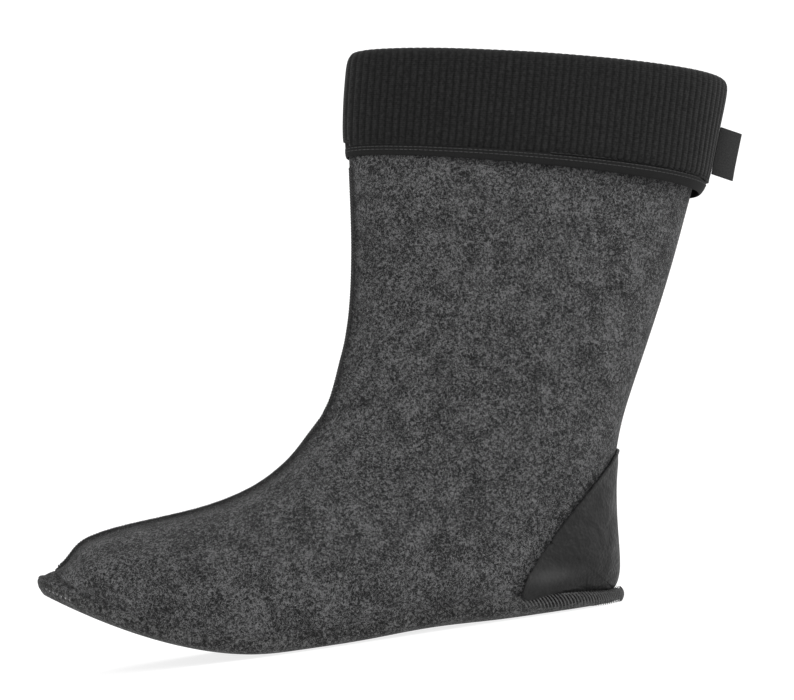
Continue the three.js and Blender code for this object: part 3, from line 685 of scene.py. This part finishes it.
rib_pitch = 3.7 * MM
rib_depth = 0.6 * MM
rib_profile = (0.0, 0.62, 0.96, 1.0, 0.96, 0.62)
knit_row = 2.1 * MM
loop_height = 1.1 * MM
knit_black = 0.0048
back_stretch = 1.155
hem_turn = 1.3 * MM
hem_inset = 0.7 * MM
edge_tuck = 1.4 * MM
seen_from = 30 * MM
seen_from_fold = 20 * MM
fold_flattening = 0.7
fold_rows = 7
collar_half_width = 35 * MM

cuff_surface = surface_of(copy_of_node("cuff", "cuff_guide", 2))
bpy.data.objects.remove(bpy.data.objects["cuff_guide"])
upper_points = [v.co for v in bpy.data.objects["upper"].data.vertices]
tape_points = [v.co for v in bpy.data.objects["cuff_binding"].data.vertices]
rim_front = max(upper_points, key=lambda p: p.z).copy()
rim_back = max(upper_points, key=lambda p: p.x).copy()
rim_front.y = rim_back.y = 0
hem_front = min(tape_points, key=lambda p: p.x).copy()
hem_back = max(tape_points, key=lambda p: p.x).copy()
hem_front.y = hem_back.y = 0
wall_middle = 2 * MM
rim_centre = (rim_front + rim_back) / 2
rim_ahead = (rim_front - rim_back).normalized()
rim_long = (rim_front - rim_back).length / 2 - wall_middle
rim_wide = collar_half_width - wall_middle


def rim_frame(turn):
    """The collar's place at a turn from the front, and its ways down and out."""
    share = (1 - math.cos(turn)) / 2
    place = rim_centre + rim_ahead * rim_long * math.cos(turn)
    place.y += rim_wide * math.sin(turn)
    down = (hem_front - rim_front).normalized().lerp((hem_back - rim_back).normalized(), share)
    down *= 1 + (back_stretch - 1) * share
    out = rim_ahead * math.cos(turn) / rim_long + Vector((0, math.sin(turn) / rim_wide, 0))
    out = (out - down * out.dot(down) / down.length_squared).normalized()
    return place, down, out


def even_turns(count):
    """Turns round the collar that lie the same distance apart along it."""
    fine = np.linspace(0, 2 * math.pi, 4001)
    steps = np.hypot(rim_long * np.sin(fine), rim_wide * np.cos(fine))
    length = np.concatenate([[0], np.cumsum((steps[1:] + steps[:-1]) / 2 * np.diff(fine))])
    return np.interp(np.linspace(0, length[-1], count, endpoint=False), length, fine), length[-1]


cuff_girth = even_turns(8)[1]
rib_count = round(cuff_girth / rib_pitch)
columns = rib_count * len(rib_profile)
cuff_drops = np.linspace(44.4, 1, 22) * MM
fold_angles = np.radians(np.linspace(8, 172, 12))
inner_drops = np.linspace(1, 23.4, 9) * MM


def cuff_profile(turn):
    """The knit's visible face at one column: up the outside, over the fold, down the inside."""
    place, down, out = rim_frame(turn)
    looks = [(place + down * d + out * seen_from, -out) for d in cuff_drops]
    for angle in fold_angles:
        way = out * math.cos(angle) - down.normalized() * math.sin(angle)
        looks.append((place + way * seen_from_fold, -way))
    looks += [(place + down * d - out * seen_from_fold, out) for d in inner_drops]
    return [(cuff_surface.ray_cast(eye, way)[0], -way) for eye, way in looks]


def cuff_column(column, turn):
    """One column of the knit's points, from the tucked hem over the fold to the inner edge."""
    profile = cuff_profile(turn)
    down = rim_frame(turn)[1]
    for i in reversed(range(len(cuff_drops))):
        if profile[i][0] is None:
            lower = profile[i + 1][0] + down * (cuff_drops[i] - cuff_drops[i + 1])
            profile[i] = (lower, profile[i][1])
    fold_top = len(cuff_drops) + len(fold_angles) // 2
    line = []
    for i, (place, way) in enumerate(profile):
        on_fold = math.exp(-(((i - fold_top) / fold_rows) ** 2))
        depth = rib_depth * (1 - fold_flattening * on_fold)
        rise = (rib_profile[column % len(rib_profile)] - 0.6) * depth
        line.append((place or profile[i - 1][0]) + way * rise)
    hem = line[0] + down * hem_turn - profile[0][1] * hem_inset
    return [hem - profile[0][1] * edge_tuck, hem, *line, line[-1] - profile[-1][1] * edge_tuck]


def make_cuff():
    columns_of_points = [cuff_column(c, turn) for c, turn in enumerate(even_turns(columns)[0])]
    rows = len(columns_of_points[0])
    faces, uvs = [], []
    for c in range(columns):
        after = (c + 1) % columns
        for r in range(rows - 1):
            faces.append((c * rows + r, c * rows + r + 1, after * rows + r + 1, after * rows + r))
            uvs += [(c, r), (c, r + 1), (c + 1, r + 1), (c + 1, r)]
    piece = new_piece("rib_knit_cuff", [p for line in columns_of_points for p in line], faces)
    layer = piece.data.uv_layers.new(name="knit")
    across, up = cuff_girth / columns, knit_row
    layer.uv.foreach_set("vector", [q for u, v in uvs for q in (u * across, v * up)])
    return piece


def knit_material():
    """Knit loops as a fine ladder on each rib, paler where the ribs catch the light."""
    material, tree, shader = new_material("black_rib_knit", 0.92)
    place = add(tree, "ShaderNodeUVMap", uv_map="knit").outputs["UV"]
    loops = add(tree, "ShaderNodeTexWave", {"Vector": place, "Scale": 0.5 / loop_height / 1.6,
                                            "Distortion": 1.2, "Detail": 1}, bands_direction="Y")
    lint_place = add(tree, "ShaderNodeTexCoord").outputs["Object"]
    lint = add(tree, "ShaderNodeTexNoise", {"Vector": lint_place, "Scale": 700, "Detail": 4})
    tone = ramp(tree, lint.outputs["Fac"],
                [(0.35, grey(knit_black * 0.3)), (0.66, grey(knit_black * 2.2))])
    across = add(tree, "ShaderNodeSeparateXYZ", {0: place})
    ribs = add(tree, "ShaderNodeMath", {0: across.outputs["X"], 1: cuff_girth / rib_count},
               operation="DIVIDE")
    phase = add(tree, "ShaderNodeMath", {0: ribs.outputs[0], 1: 0.5}, operation="PINGPONG")
    groove = ramp(tree, phase.outputs[0], [(0.06, grey(0.35)), (0.34, grey(1.2))])
    shaded = add(tree, "ShaderNodeVectorMath", {0: tone, 1: groove}, operation="MULTIPLY")
    tree.links.new(shaded.outputs[0], shader.inputs["Base Color"])
    fine = add(tree, "ShaderNodeBump", {"Height": loops.outputs["Fac"], "Strength": 0.45,
                                        "Distance": 0.3 * MM})
    fuzz = add(tree, "ShaderNodeBump", {"Height": lint.outputs["Fac"], "Strength": 0.5,
                                        "Distance": 0.3 * MM, "Normal": fine.outputs["Normal"]})
    tree.links.new(fuzz.outputs["Normal"], shader.inputs["Normal"])
    shader.inputs["Specular IOR Level"].default_value = 0.25
    shader.inputs["Sheen Weight"].default_value = 0.06
    return material


cuff = make_cuff()
cuff.data.materials.append(knit_material())
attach(cuff, "root")
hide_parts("cuff")

# Cuff binding.
# A narrow woven tape over the knit's raw lower edge, held by two rows of fine pale stitching.

tape_black = 0.005
tape_thread_grey = 0.036
hem_stitch = {"Pitch": 2.6 * MM, "Length": 2.5 * MM, "Thread": 0.4 * MM, "Slant": math.pi / 2}
hem_stitch_drops = (46.7 * MM, 48.2 * MM)


def tape_material(name, colour):
    material, tree, shader = new_material(name, 0.85)
    shader.inputs["Specular IOR Level"].default_value = 0.25
    place = add(tree, "ShaderNodeTexCoord").outputs["Object"]
    weave = add(tree, "ShaderNodeTexNoise", {"Vector": place, "Scale": 1600, "Detail": 2})
    tone = ramp(tree, weave.outputs["Fac"],
                [(0.35, grey(colour * 0.7)), (0.65, grey(colour * 1.35))])
    tree.links.new(tone, shader.inputs["Base Color"])
    relief = add(tree, "ShaderNodeBump", {"Height": weave.outputs["Fac"], "Strength": 0.5,
                                          "Distance": 0.2 * MM})
    tree.links.new(relief.outputs["Normal"], shader.inputs["Normal"])
    return material


binding = copy_of_node("cuff_binding", "hem_tape", 2)
binding.data.materials.append(tape_material("black_hem_tape", tape_black))
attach(binding, "root")
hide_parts("cuff_binding")

binding_surface = surface_of(binding)
for number, drop in enumerate(hem_stitch_drops):
    row = []
    for turn in even_turns(240)[0]:
        place, down, out = rim_frame(turn)
        hit = binding_surface.ray_cast(place + down * drop + out * seen_from, -out)[0]
        if hit:
            row.append((hit, out))
    thread = thread_material("hem_thread_%d" % (number + 1), tape_thread_grey)
    stitch_row("hem_stitches_%d" % (number + 1), row, thread, hem_stitch,
               closed=True)

# Back tab.
# A loop of dark grey tape folded double and sewn into the cuff's back seam, left blank.

tab_grey = 0.024
tab_softness = 0.3 * MM

tab = copy_of_node("back_tab", "blank_tab", 0)
edge = tab.modifiers.new("soft_edge", "BEVEL")
edge.width = tab_softness
edge.segments = 2
apply_modifiers(tab)
tab.data.shade_smooth()
tab.data.materials.append(tape_material("grey_tab_tape", tab_grey))
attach(tab, "root")
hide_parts("back_tab")

# Floor, light and camera.
# A white studio sweep that is round, so it is the same from all sides, under soft light.

floor_radius = 2.2
sweep_bend = 0.9
wall_height = 3.2
bend_steps = 12
paper_glow = 0.8
world_glow = 0.5


def make_sweep():
    """A floor disc that curves up into a wall all round."""
    profile = [(0.0, 0.0), (floor_radius, 0.0)]
    for i in range(1, bend_steps + 1):
        angle = math.radians(90 * i / bend_steps)
        profile.append((floor_radius + sweep_bend * math.sin(angle),
                        sweep_bend * (1 - math.cos(angle))))
    profile.append((floor_radius + sweep_bend, wall_height))
    sides = 96
    verts = [(0, 0, 0)]
    for radius, height in profile[1:]:
        for i in range(sides):
            angle = 2 * math.pi * i / sides
            verts.append((radius * math.cos(angle), radius * math.sin(angle), height))
    faces = [(0, 1 + i, 1 + (i + 1) % sides) for i in range(sides)]
    for ring in range(len(profile) - 2):
        low, high = 1 + ring * sides, 1 + (ring + 1) * sides
        for i in range(sides):
            after = (i + 1) % sides
            faces.append((low + i, high + i, high + after, low + after))
    sweep = new_piece("studio_sweep", verts, faces)
    material, _, shader = new_material("white_paper", 0.9)
    shader.inputs["Base Color"].default_value = grey(0.35)
    shader.inputs["Emission Color"].default_value = grey(1.0)
    shader.inputs["Emission Strength"].default_value = paper_glow
    shader.inputs["Specular IOR Level"].default_value = 0.0
    sweep.data.materials.append(material)


make_sweep()

world = bpy.data.worlds.new("soft_white")
world.use_nodes = True
world.node_tree.nodes["Background"].inputs["Color"].default_value = grey(1.0)
world.node_tree.nodes["Background"].inputs["Strength"].default_value = world_glow
bpy.context.scene.world = world


def softbox(name, place, aim, size, power):
    lamp = bpy.data.lights.new(name, "AREA")
    lamp.shape = "RECTANGLE"
    lamp.size, lamp.size_y = size
    lamp.energy = power
    light = bpy.data.objects.new(name, lamp)
    light.location = place
    light.rotation_euler = (Vector(aim) - Vector(place)).to_track_quat("-Z", "Y").to_euler()
    bpy.context.scene.collection.objects.link(light)


softbox("key", (-0.9, -1.3, 1.7), (0, 0, 0.12), (1.2, 1.0), 9)
softbox("side", (1.3, -0.7, 0.9), (0.02, 0, 0.12), (0.5, 1.1), 7)
softbox("back", (0.6, 1.5, 1.3), (0, 0, 0.15), (1.2, 0.8), 7)

camera_place = Vector((-0.25293, -1.08079, 0.070))
camera_aim = Vector((-0.06236, 0.0, 0.14463))
camera_roll = math.radians(7.498)
ahead = (camera_aim - camera_place).normalized()
right = ahead.cross(Vector((0, 0, 1))).normalized()
above = right.cross(ahead)
tilted_right = right * math.cos(camera_roll) - above * math.sin(camera_roll)
tilted_above = right * math.sin(camera_roll) + above * math.cos(camera_roll)
lens = bpy.data.cameras.new("photo_camera")
lens.sensor_width = 36
lens.lens = 95.58
lens.clip_start = 0.01
camera = bpy.data.objects.new("photo_camera", lens)
bpy.context.scene.collection.objects.link(camera)
rows = zip(tilted_right, tilted_above, -ahead, camera_place)
camera.matrix_world = Matrix([*rows, (0, 0, 0, 1)])
bpy.context.scene.camera = camera
bpy.context.scene.view_settings.view_transform = "Standard"
